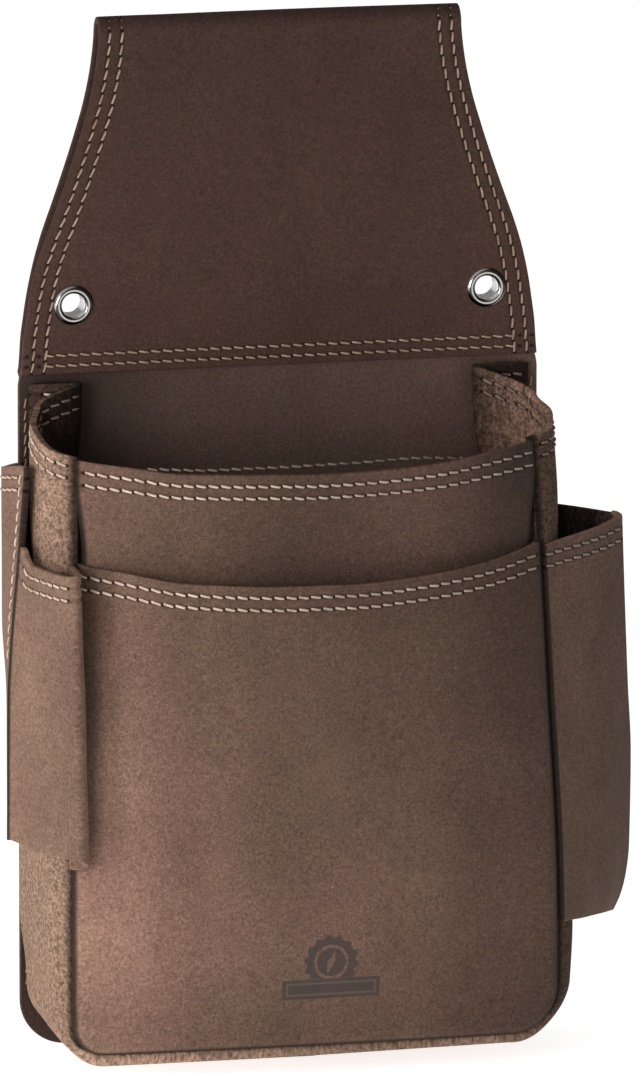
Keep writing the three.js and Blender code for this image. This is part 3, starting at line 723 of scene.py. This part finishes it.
def loop_point(across, s):
    turn = np.clip((s - RISE) / BEND, 0, 1) * math.pi
    front, back = s <= RISE, s >= RISE + BEND
    z = np.where(front, LOOP_LOW + s, np.where(back, LOOP_HIGH - (s - RISE - BEND),
                                               LOOP_HIGH + LOOP_OPEN * np.sin(turn)))
    y = np.where(front, -loop_gap(z), np.where(back, loop_gap(z), -LOOP_OPEN * np.cos(turn)))
    x = across * loop_half(z, back)
    swell = (1 - across ** 2) * smooth(236, 285, z) * (1 - smooth(318, 346, z))
    y = y + np.where(front, -1.4, np.where(back, 0.6, 0)) * swell
    p = np.stack(np.broadcast_arrays(x, y, z), -1).astype(float)
    wave = 0.35 * ripple(p, (38, 60, 44), 3) * smooth(240, 262, z)
    p[..., 1] += np.where(front, wave, np.where(back, -wave, 0))
    crown = 0.3 * (1 - across ** 2) - 0.2 + 0.3 * ripple(p, (26, 99, 999), 8)
    p[..., 2] += crown * smooth(300, 349, z)
    return p


along = joined(
    np.linspace(0, RISE, 62), np.linspace(RISE, RISE + BEND, 13),
    np.linspace(RISE + BEND, 2 * RISE + BEND, 50),
    np.linspace(2 * RISE + BEND - 2, 2 * RISE + BEND + 6, 12),
    np.linspace(2 * RISE + BEND + 6, TAIL_END, 16), digits=4)
U, V = np.meshgrid(np.linspace(-1, 1, 81), along)
p = loop_point(U, V)
loop = leather("belt_loop_leather", p, slopes(p))
for x in (-EYELET_X, EYELET_X):
    drilled(loop, x, EYELET_Z, 4.8)


def as_rows(distance, rows):
    """Distances from an edge, stretched so that a seam's own rows fall on ROWS."""
    return ROWS[0] + (distance - rows[0]) * (ROWS[1] - ROWS[0]) / (rows[1] - rows[0])


def loop_seams(obj):
    """Seam coordinates of the belt loop, worked out again from where its vertices are."""
    q = np.array([v.co for v in obj.data.vertices]) * 1000 - np.array([0, 0, BASE * 1000])
    x, y, z = q.T
    back = y > 0
    s_ = np.where(z > LOOP_HIGH, RISE + BEND * (0.5 + np.arctan2(y, z - LOOP_HIGH) / math.pi),
                  np.where(back, RISE + BEND + LOOP_HIGH - z, z - LOOP_LOW))
    tail_ = back & (z < 214)
    edge_ = np.where(tail_, FAR, as_rows(loop_half(z, back) - np.abs(x), LOOP_ROWS))
    hem_ = np.where(tail_, np.where(z < 210, z - TAIL_SEAM + ROWS[0], FAR),
                    np.where(z < 300, as_rows(z - LOOP_LOW, HEM_ROWS), FAR))
    set_vectors(obj, "rest", q)
    set_vectors(obj, "seam_a", np.stack([s_, edge_, x * 0 + FAR], -1))
    set_vectors(obj, "seam_b", np.stack([x, hem_, x * 0], -1))


loop_seams(loop)
finish_piece(loop, YOKE, "belt_loop", ["belt_loop_wrap", "belt_loop_tail"], crosses=True)

# back panel with its tab: one piece of leather through the living hinge
def panel_point(across_, z):
    low = np.maximum(0, PANEL_CORNER - z)
    rounded = PANEL_HALF - PANEL_CORNER + np.sqrt(np.maximum(0, PANEL_CORNER ** 2 - low ** 2))
    straight = np.minimum(PANEL_HALF, curve(LOOP_EDGE, z) - 0.4 * smooth(224, 228, z))
    half_ = np.where(z < PANEL_CORNER, rounded, straight)
    p_ = np.stack(np.broadcast_arrays(across_ * half_, 0 * z, z * 1.0), -1).astype(float)
    p_[..., 1] += 0.35 * ripple(p_, (42, 99, 50), 11) * smooth(0, 20, z) * (1 - smooth(175, 188, z))
    return p_


heights = joined(
    PANEL_CORNER * (1 - np.cos(np.linspace(0, math.pi / 2, 16))), np.linspace(25, 216, 84),
    np.linspace(216, 230, 22), np.linspace(230, TAB_TOP, 6), digits=4)
heights[0] = 0.12
U, V = np.meshgrid(np.linspace(-1, 1, 81), heights)
p = panel_point(U, V)
back = leather("back_panel_leather", p, np.broadcast_to([0.0, -1.0, 0.0], p.shape).copy())
finish_piece(back, BACK, "pouch", ["back_panel", "back_panel_tab"], crosses=True)


# ---------------------------------------------------------------- front panels
def front_shape(across_, z, layer):
    bottom = SEAM_Z + layer * LINING
    corner = np.where(across_ > 0, FRONT_CORNER[1], FRONT_CORNER[-1]) - layer * LINING
    curl = CURL - layer * 1.2
    half_ = curve(FRONT_HALF, z)
    if layer:
        half_ = half_ - LINING * (1 - smooth(176, 200, z))
    low = np.maximum(0, bottom + corner - z)
    x = across_ * (half_ - corner + np.sqrt(np.maximum(0, corner ** 2 - low ** 2)))
    qx, qz = np.abs(x) - (half_ - corner), bottom + corner - z
    qx, qz = np.broadcast_arrays(qx, qz)
    both = (qx > 0) & (qz > 0)
    reach = np.hypot(qx, qz)
    inset = np.where(both, corner - reach, np.where(qx > qz, corner - qx, corner - qz))
    round_ = np.stack([np.sign(x) * qx, 0 * qx, -qz], -1) / np.maximum(reach, 1e-6)[..., None]
    out = np.where(both[..., None], round_,
                   np.where((qx > qz)[..., None], np.stack([np.sign(x), 0 * x, 0 * x], -1),
                            np.stack([0 * x, 0 * x, 0 * x - 1], -1)))
    sine = np.clip(1 - inset / curl, 0, 1)
    cosine = np.sqrt(1 - sine ** 2)
    bow = 1 - np.minimum(1, np.abs(x) / half_) ** 2.4
    depth = mix(curve(EDGE_DEPTH, z), curve(POCKET_DEPTH, z), bow)
    if layer:
        depth = depth - LINING - MOUTH_GAP * bow * smooth(40, 135, z)
        depth = mix(depth, mix(curve(EDGE_DEPTH, z), curve(MAIN_DEPTH, z), bow), smooth(160, 200, z))
    depth = depth - curl * (1 - cosine)
    p_ = xyz(x, depth, z)
    free = smooth(2, 16, inset)
    sag = 0.7 * ripple(p_, (46, 400, 52), 21) + 0.35 * ripple(p_, (19, 400, 24), 22)
    p_[..., 1] -= free * sag
    return p_, out, sine, cosine, inset


def front_lip(across_, layer):
    rise = np.abs(across_) ** 2.4
    wavy = 0.5 * noise(across_ * 5 + 9, across_ * 0, across_ * 0, 31 + layer)
    return (MAIN_LIP + MAIN_RISE * rise if layer else POCKET_LIP + POCKET_RISE * rise) + wavy


def front_point(layer):
    bottom = SEAM_Z + layer * LINING

    def at(across_, h):
        return front_shape(across_, bottom + h * (front_lip(across_, layer) - bottom), layer)[0]
    return at


def front_grid(layer, U_, V_):
    bottom = SEAM_Z + layer * LINING
    lip = front_lip(U_, layer)
    p_, out, sine, cosine, inset = front_shape(U_, bottom + V_ * (lip - bottom), layer)
    face = surface_normal(front_point(layer), np.clip(U_, -0.945, 0.945), np.clip(V_, 0.05, 1),
                          (-0.95, 0.04), (0.95, 1.0))
    return p_, unit(face * cosine[..., None] + out * sine[..., None]), (lip - bottom) * (1 - V_), inset


edges = [0, 0.12, 0.4, 0.8, 1.3, 1.9, 2.6, 3.4, 4.4, 6]
near = np.array(edges) / 82
ac = joined(-1 + near, np.linspace(-0.91, 0.91, 76), 1 - near, digits=6)
for layer, name, node, key, material, tall in (
        (0, "front_pocket_leather", "front_pocket_panel", "front_pocket", FRONT, 158),
        (1, "main_front_leather", "main_front_panel", "main_lip", MAIN, 193)):
    hh = joined(np.array(edges) / tall, np.linspace(8 / tall, 1, 92), digits=6)
    U, V = np.meshgrid(ac, hh)
    p, n, below, inset = front_grid(layer, U, V)
    arc = lengths(front_point(layer)(ac, 1 - BELOW_MOUTH / tall + 0 * ac))
    arc = arc - arc[len(arc) // 2]
    # the third value, the distance from the sewn edges, sets the painted shade along them
    seam = np.stack([np.broadcast_to(arc, U.shape), below, inset], -1)
    finish_piece(leather(name, p, n, seam), material, "pouch", [node])
    hu = np.interp(pitched(arc[0] + 1.2, arc[-1] - 1.2), arc, ac)
    sew_mouth(node, key, front_point(layer), hu, front_lip(hu, layer) - SEAM_Z - layer * LINING,
              THREAD, THREAD, (-2, -2), (2, 2))


# ---------------------------------------------------------------- gussets
CORNER_START, CORNER_END = 0.42, 0.3
REAR_X = 84.3
REAR_DEPTH = 1.7
SEAM_LINE = 8.0
GUSSET_TALL, GUSSET_WIDE = 196, 56
ROLL_FROM = 0.86


def gusset_point(u, v, sign=1):
    u, v = np.broadcast_arrays(u * 1.0, v * 1.0)
    side = v >= CORNER_START
    k = (v - CORNER_START) / (1 - CORNER_START)
    low_z = PANEL_HALF - REAR_X
    corner = FRONT_CORNER[sign]
    z_side = mix(mix(low_z + GUSSET_REAR_CORNER, SEAM_LINE + corner, u), curve(GUSSET_TOP[sign], u), k)
    t = np.clip((CORNER_START - v) / (CORNER_START - CORNER_END), 0, 1) * math.pi / 2
    ax, az = np.cos(t), -np.sin(t)
    radius = GUSSET_REAR_CORNER
    reach = np.minimum(1, v / CORNER_END)
    rx = np.where(side, REAR_X, mix(0.0, REAR_X - radius, reach) + radius * ax)
    rz = np.where(side, z_side, low_z + radius + radius * az)
    fx = np.where(side, curve(FRONT_HALF, z_side), mix(0.0, BOTTOM_HALF - corner, reach) + corner * ax)
    fz = np.where(side, z_side, SEAM_LINE + corner + corner * az)
    x, z = mix(rx, fx, u), mix(rz, fz, u)
    turned = 2 * t / math.pi
    belly = curve(GUSSET_BULGE, z) + (1.9 * (1 - smooth(70, 120, z)) if sign > 0 else 0)
    pull = np.sin(math.pi * turned) ** 2 * mix(0.95, 0.35, smooth(0.3, 0.9, u))
    front_part = 1 - np.abs(2 * u - 1) ** 6
    profile = np.where(u < 0.5, 1 - np.abs(1 - 2 * u) ** 3, front_part)
    high = smooth(0.12, 0.6, u) * np.where(u < 0.5, 1, front_part)
    profile = mix(profile, high, smooth(120, 185, z))
    fold = np.where(u < 0.3, np.sin(math.pi * u / 0.3) ** 2, 0)
    ridge = np.exp(-((u - 0.1) / 0.07) ** 2) * 1.9 - np.exp(-((u - 0.27) / 0.06) ** 2) * 0.7
    ridge = ridge * smooth(26, 50, z) * (1 - smooth(95, 130, z)) * (1 - turned) * smooth(0, 0.05, u)
    off = belly * profile * (1 - pull) - PLEAT[sign] * smooth(95, 224, z) * fold + ridge
    depth = mix(REAR_DEPTH, curve(EDGE_DEPTH, fz) - CURL - 0.2, u)
    # along the bottom the front edge rolls back under the front panel
    around = np.clip((u - ROLL_FROM) / (1 - ROLL_FROM), 0, 1) * math.pi
    under = np.minimum(u / ROLL_FROM, 1)
    lift = 5.1 + (0.35 if sign < 0 else 0.5 + 1.0 * reach)
    flat_z = mix(low_z, lift, under) - 0.8 * np.sin(math.pi * under)
    roll_z = flat_z + 1.45 * (1 - np.cos(around))
    roll_depth = mix(REAR_DEPTH, 56.0, under) + 2.8 * np.sin(around)
    off = mix(off, mix(low_z, SEAM_LINE, u) - roll_z, turned)
    depth = mix(depth, roll_depth, turned)
    p_ = xyz(x + off * ax, depth, z + off * az)
    lump = 0.7 * ripple(p_, (60, 17, 34), 41) + 0.3 * ripple(p_, (40, 8, 13), 42)
    lump = lump * np.sin(math.pi * u) * (1 - 0.7 * turned)
    p_[..., 0] += lump * ax
    p_[..., 2] += lump * az
    return p_


gu = joined(np.linspace(0, 0.34, 28), np.linspace(0.34, ROLL_FROM, 20), np.linspace(ROLL_FROM, 1, 14))
gv = joined(np.linspace(0, CORNER_END, 34), np.linspace(CORNER_END, CORNER_START, 16),
            np.linspace(CORNER_START, 1, 92))
gv[0] = 0.0012
SIDE_SHARE = 1 - CORNER_START
for sign, label, span, threads in ((-1, "left", (0.02, 0.985), (THREAD, THREAD_SHADED)),
                                   (1, "right", (0.015, 0.98), (THREAD_SHADED, THREAD))):
    def gusset_side(u, v, sign=sign):
        q = gusset_point(u if sign < 0 else 1 - u, v, sign)
        q[..., 0] *= sign
        return q
    us = gu if sign < 0 else np.sort(1 - gu)
    U, V = np.meshgrid(us, gv)
    p = gusset_side(U, V)
    arc = lengths(gusset_side(us, 1 - BELOW_MOUTH / 345 + 0 * us))
    # the distance from the front edge, which sets the painted shade along the front seam
    front_gap = (U if sign > 0 else 1 - U) * GUSSET_WIDE
    seam = np.stack([np.broadcast_to(arc, U.shape), (1 - V) * GUSSET_TALL / SIDE_SHARE, front_gap], -1)
    name = "gusset_" + label
    finish_piece(leather(name + "_suede", p, slopes(p), seam), SUEDE, "pouch", [name])
    hu = np.interp(pitched(*np.interp(span, us, arc)), arc, us)
    sew_mouth(name, name, gusset_side, hu, GUSSET_TALL / SIDE_SHARE, *threads)


# ---------------------------------------------------------------- side pockets
def right_plan(z):
    seam_x = curve(FRONT_HALF, z) + 2.2
    seam_d = curve(EDGE_DEPTH, z) - 3
    out_x = curve(RIGHT_FOLD, z)
    return [(seam_x, seam_d), (mix(seam_x, out_x, 0.4), mix(seam_d, 26, 0.33)),
            (mix(seam_x, out_x, 0.78), mix(seam_d, 26, 0.72)), (out_x, 26 + 0 * z)]


def right_front(u, h):
    """The outer ply, carried round the fold at its free side."""
    turn = np.clip((u - 0.9) / 0.1, 0, 1) * math.pi * 0.9
    u = np.minimum(u / 0.9, 1)
    z = mix(42.6 + 4.2 * (1 - u), 171.8 + 4.4 * u + 1.6 * turn / math.pi, h)
    q = plan(right_plan(z), u)
    back = 1 - np.cos(turn)
    p_ = xyz(q[..., 0] + 0.9 * np.sin(turn) - 0.7 * back, q[..., 1] - 1.5 * back, z)
    crush = 0.9 * ripple(p_, (14, 14, 60), 51) + 0.5 * ripple(p_, (9, 9, 16), 52)
    p_[..., 1] -= crush * np.sin(math.pi * u)
    return p_


def right_rear(u, h):
    z = mix(43.0 + 4.2 * u, mix(176.9, 177.6, u), h)
    open_ = smooth(41, 100, z)
    flat = right_plan(z)
    inner = gusset_point(mix(0.8, 0.02, open_), CORNER_START + SIDE_SHARE * (z - 22) / GUSSET_TALL)
    start = (inner[..., 0] + mix(3.4, 2.9, open_), -inner[..., 1])
    end = (flat[3][0] - 1.3, flat[3][1] - 2.7)
    middle = (mix(start[0], end[0], 0.5), mix(start[1], end[1], 0.5) - 1.5 * open_)
    q = plan([start, middle, end], 1 - u)
    return xyz(q[..., 0], q[..., 1], z)


def left_wall(u, h):
    z = mix(77.5, 198.5 + 4.6 * smooth(0.2, 1, u), h)
    full = smooth(118, 150, z)
    top_x = mix(-96.6, -94.8, smooth(150, 200, z))
    q = plan([(-88.6 + 0 * z, 1.8), (mix(-91.4, -93.4, full), 6), (mix(-93.8, -96, full), 13),
              (mix(-96.2, top_x, full), 23), (curve(LEFT_FOLD, z), 31)], u)
    p_ = xyz(q[..., 0], q[..., 1], z)
    p_[..., 0] += 0.5 * ripple(p_, (99, 14, 40), 61) * np.sin(math.pi * u)
    return p_


def left_front(u, h):
    rise = 5.0 * h ** 6 * (1 - smooth(0, 0.16, u)) + 0.8 * h * smooth(0.4, 0.8, u)
    z = mix(77.5 + 1.0 * (1 - smooth(0, 0.3, u)), 172.0, h) - 3.8 * (1 - h) * smooth(0.62, 0.92, u) + rise
    fold_x = curve(LEFT_FOLD, z)
    edge = curve(EDGE_DEPTH, z)
    proud = mix(65, 63.8, h)
    q = plan([(fold_x - 0.3, 33.8), (mix(fold_x, -86.6, 0.27), 41), (mix(fold_x, -86.6, 0.62), 51),
              (-86.6 + 0 * z, 60), (mix(-81.4, -83.8, h), proud + 1),
              (mix(-78.6, -81.4, h), proud - 1.5),
              (-curve(FRONT_HALF, z) - 2.6, mix(edge + 2.6, edge - 1, h))], u)
    p_ = xyz(q[..., 0], q[..., 1], z)
    soft = np.sin(math.pi * np.clip(u, 0, 1))
    crush = (0.9 * ripple(p_, (12, 12, 38), 71) + 0.55 * ripple(p_, (7, 7, 15), 72)) * soft
    p_[..., 0] -= crush * 0.8
    p_[..., 1] -= crush * 0.4
    return p_


def hemmed(name, node, P, us, height, material, key=None, span=None, border=None):
    """A pocket ply, with rows of stitching under its mouth if it has a key."""
    U, V = np.meshgrid(us, TALL)
    p = P(U, V)
    arc = lengths(P(us, 1 - BELOW_MOUTH / height + 0 * us))
    # the third value, the distance from the sewn side, sets the painted shade along it
    seam = key and np.stack([np.broadcast_to(arc, U.shape), (1 - V) * height, border(U) + 0.2], -1)
    finish_piece(leather(name, p, slopes(p), seam), material, "pouch", [node])
    if key:
        hu = np.interp(pitched(*np.interp(span, us, arc)), arc, us)
        sew_mouth(key, key, P, hu, height, THREAD, THREAD)


TALL = joined(np.linspace(0, 0.88, 56), np.linspace(0.88, 1, 14))
even = np.linspace(0, 1, 24)
folded = np.append(np.linspace(0, 0.9, 28), [0.92, 0.94, 0.96, 0.98, 1])
rolled = joined(np.linspace(0, 0.5, 20), np.linspace(0.5, 0.9, 34), np.linspace(0.9, 1, 6))
hemmed("right_pocket_front_leather", "right_pocket_front", right_front, folded, 133.5,
       POCKET, "right_pocket", (0.0, 0.93), lambda u: u * 45)
hemmed("right_pocket_rear_leather", "right_pocket_rear", right_rear, even, 135,
       SUEDE_SHADE)
hemmed("left_pocket_wall_leather", "left_pocket_side_wall", left_wall, even, 121,
       POCKET, "left_wall", (0.03, 0.9), lambda u: (1 - u) * 35)
hemmed("left_pocket_front_leather", "left_pocket_front", left_front, rolled, 93,
       POCKET, "left_pocket", (0.03, 0.80), lambda u: u * 45)


# ---------------------------------------------------------------- stitching on the belt loop and back
LOOP_THREAD = 0.31


def loop_row(name, node, u, s):
    n = surface_normal(loop_point, u, s, (-1, 0), (1, TAIL_END), 0.01)
    sew(name, loop_point(u, s), n, THREAD_SUNK_SHADE, "belt_loop", node, radius=LOOP_THREAD)


for sign, label in ((-1, "left_"), (1, "right_")):
    for d, part in zip(LOOP_ROWS, ("outer", "inner")):
        name = "loop_" + label + part
        for s0, s1, tag in ((0.0, RISE + BEND / 2, ""), (RISE + BEND / 2 - 2, 2 * RISE + BEND - 1, "_back")):
            holes = pitched(s0, s1)
            half = loop_half(loop_point(0 * holes, holes)[..., 2], holes > RISE + BEND)
            loop_row(name + tag, [] if tag else ["thread_" + name], sign * (1 - d / half), holes)
holes = np.arange(-20, 21) * PITCH
for d, part in zip(HEM_ROWS, ("lower", "upper")):
    name = "loop_hem_" + part
    for s0, tag in ((d, ""), (2 * RISE + BEND - d, "_back")):
        loop_row(name + tag, [] if tag else ["thread_" + name], holes / 88.5, s0 + 0 * holes)


def facing(q):
    return np.broadcast_to([0.0, -1.0, 0.0], q.shape)


holes = np.arange(-17, 18) * PITCH
q = xyz(holes, 0 * holes, TAIL_SEAM + 0.9 * noise(holes / 23, holes * 0, holes * 0, 5))
sew("tail", q, facing(q), THREAD, nodes=["thread_tail"])
down = np.arange(0.985, 0.47, -PITCH / 122)
q = left_wall(0.925 + 0 * down, down)
sew("left_wall_edge", q, surface_normal(left_wall, 0.925 + 0 * down, down), THREAD, radius=0.32)
for sign, label in ((-1, "left"), (1, "right")):
    q = panel_point(sign * (1 - 1.7 / PANEL_HALF), np.arange(20, 222, PITCH))
    sew("panel_" + label, q, facing(q), THREAD_SUNK_SHADE, radius=0.26)


# ---------------------------------------------------------------- eyelets
def lathe(name, profile, x, z, segments=72):
    ang = np.arange(segments) * 2 * math.pi / segments
    r, y = np.array(profile).T
    verts = np.stack([x + r[:, None] * np.cos(ang), np.broadcast_to(y[:, None], (len(r), segments)),
                      z + r[:, None] * np.sin(ang)], -1).reshape(-1, 3)
    k = len(r)
    faces = []
    for a in range(0, k * segments, segments):
        b = (a + segments) % (k * segments)
        for i in range(segments):
            j = (i + 1) % segments
            faces.append((a + i, a + j, b + j, b + i))
    return make_mesh(name, verts, faces)


face = PLY_PITCH + LEATHER / 2
dome = [(4.0, -face - 0.1), (4.03, -face - 0.9), (4.35, -face - 1.35), (4.8, -face - 1.58),
        (5.3, -face - 1.6), (5.8, -face - 1.45), (6.3, -face - 1.1), (6.6, -face - 0.7),
        (6.75, -face - 0.25), (6.7, -face - 0.02), (4.45, -face - 0.02), (4.45, face + 1.2),
        (4.0, face + 1.2)]
washer = [(4.5, face + 0.05), (6.6, face + 0.05), (6.5, face + 0.6), (6.0, face + 0.95), (5.4, face + 1.15),
          (4.8, face + 1.4), (4.2, face + 1.5), (4.0, face + 1.25), (4.5, face + 0.9)]
for sign, label in ((-1, "left"), (1, "right")):
    for node, profile in (("eyelet_" + label, dome[::-1]), ("eyelet_washer_" + label, washer)):
        finish_piece(lathe(node + "_nickel", profile, sign * EYELET_X, EYELET_Z),
                     NICKEL, "belt_loop", [node])

# ---------------------------------------------------------------- stage, light and camera
bpy.ops.mesh.primitive_plane_add(size=30, location=(0, 0, BASE - FLOOR_GAP))
floor = bpy.context.object
floor.name = "floor"
floor.data.materials.append(Nodes("pale_floor").surface(
    Base_Color=(0.9, 0.9, 0.9, 1), Roughness=0.9, Emission_Color=(1, 1, 1, 1), Emission_Strength=0.75))

world = bpy.data.worlds.new("studio")
bpy.context.scene.world = world
world.use_nodes = True
sky = world.node_tree.nodes["Background"].inputs
sky[0].default_value = (1, 1, 1, 1)
sky[1].default_value = 0.32


def area_light(name, location, size, power):
    data = bpy.data.lights.new(name, "AREA")
    data.energy, data.size = power, size
    obj = bpy.data.objects.new(name, data)
    bpy.context.scene.collection.objects.link(obj)
    obj.location = location
    away = np.array(location) - LIT_POINT
    obj.rotation_euler = (math.atan2(math.hypot(away[0], away[1]), away[2]), 0,
                          math.atan2(away[0], -away[1]))


area_light("key", (-0.62, -0.62, 0.02), 0.35, 4.2)
area_light("fill", (0.1, -1.6, 0.5), 1.2, 3)

AZIMUTH, ELEVATION = math.radians(-12.5), math.radians(12)
right = np.array([math.cos(AZIMUTH), math.sin(AZIMUTH), 0])
toward = np.array([math.sin(AZIMUTH) * math.cos(ELEVATION),
                   -math.cos(AZIMUTH) * math.cos(ELEVATION), math.sin(ELEVATION)])
up = np.cross(toward, right)
aim = np.array([0, 0, BASE]) + right * AIM_RIGHT + up * AIM_UP
camera = bpy.data.objects.new("camera", bpy.data.cameras.new("camera"))
bpy.context.scene.collection.objects.link(camera)
camera.location = aim + toward * DISTANCE
camera.rotation_euler = (math.pi / 2 - ELEVATION, 0, AZIMUTH)
camera.data.sensor_width = 36
camera.data.lens = 36 * DISTANCE / FIELD
bpy.context.scene.camera = camera
bpy.context.scene.view_settings.view_transform = "Standard"
